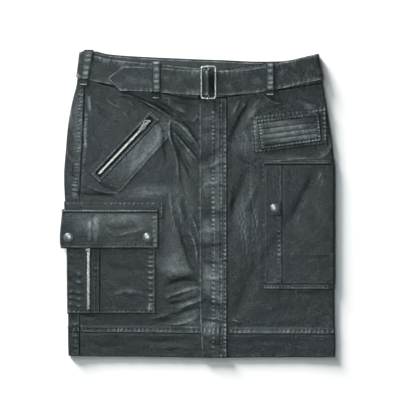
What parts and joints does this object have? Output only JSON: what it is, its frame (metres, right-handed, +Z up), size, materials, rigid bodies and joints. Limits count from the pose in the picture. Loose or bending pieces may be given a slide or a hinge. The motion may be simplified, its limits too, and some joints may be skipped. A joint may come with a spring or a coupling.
{
  "type": "cargo utility skirt",
  "caption": "Skirt of coated dark cotton laid flat on its back, with a belted waist, covered front placket, slanted hip zip, flapped cargo, ribbed pen and bellows pockets.",
  "frame": {"origin": "on the surface that the skirt lies on, under the middle of its outline", "axes": "+X to the right across the laid front, +Y from the hem to the waist, +Z up out of the front"},
  "size_m": [0.4411, 0.4912, 0.0165],
  "materials": {
    "coated_cloth": "coated cotton twill, charcoal, half matt with rubbed seams",
    "belt_cloth": "coated cotton twill, charcoal, half matt",
    "zip_tape": "woven zip tape, near black",
    "zip_teeth": "pale nickel teeth",
    "zip_metal": "nickel, softly polished",
    "buckle_metal": "nickel wire, softly polished",
    "snap_metal": "dark nickel cap, polished"
  },
  "bodies": {
    "skirt": {"front_left_panel": "coated_cloth", "front_right_panel": "coated_cloth", "back_panel": "coated_cloth", "hem_band_left": "coated_cloth", "hem_band_right": "coated_cloth", "hem_band_back": "coated_cloth", "waistband_left": "coated_cloth", "waistband_right": "coated_cloth", "waistband_back": "coated_cloth", "placket_band": "coated_cloth", "belt_loop_side": "coated_cloth", "belt_loop_front_left": "coated_cloth", "belt_loop_front_right": "coated_cloth", "hip_zip_facing": "coated_cloth", "hip_zip_welt": "coated_cloth", "cargo_facing": "coated_cloth", "cargo_pocket": "coated_cloth", "cargo_flap": "coated_cloth", "pen_pocket": "coated_cloth", "pen_flap": "coated_cloth", "bellows_panel": "coated_cloth", "bellows_gusset": "coated_cloth", "bellows_top_binding": "coated_cloth", "bellows_bottom_binding": "coated_cloth", "bellows_tab": "coated_cloth", "belt": "belt_cloth", "hip_zip_tape": "zip_tape", "hip_zip_teeth": "zip_teeth", "cargo_zip_teeth": "zip_teeth", "hip_zip_slider": "zip_metal", "cargo_zip_slider": "zip_metal", "buckle": "buckle_metal", "snap_cargo_side": "snap_metal", "snap_cargo_front": "snap_metal", "snap_bellows": "snap_metal"},
    "hip_zip_pull": {"hip_zip_pull": "zip_metal"}
  },
  "joints": [
    {"name": "hip_zip_pull_tilt", "type": "hinge", "parent": "skirt", "child": "hip_zip_pull", "pos_m": [-0.08798, 0.12106, 0.01031], "axis": [0.8339, -0.5519, 0], "range_deg": [0, 165]}
  ]
}
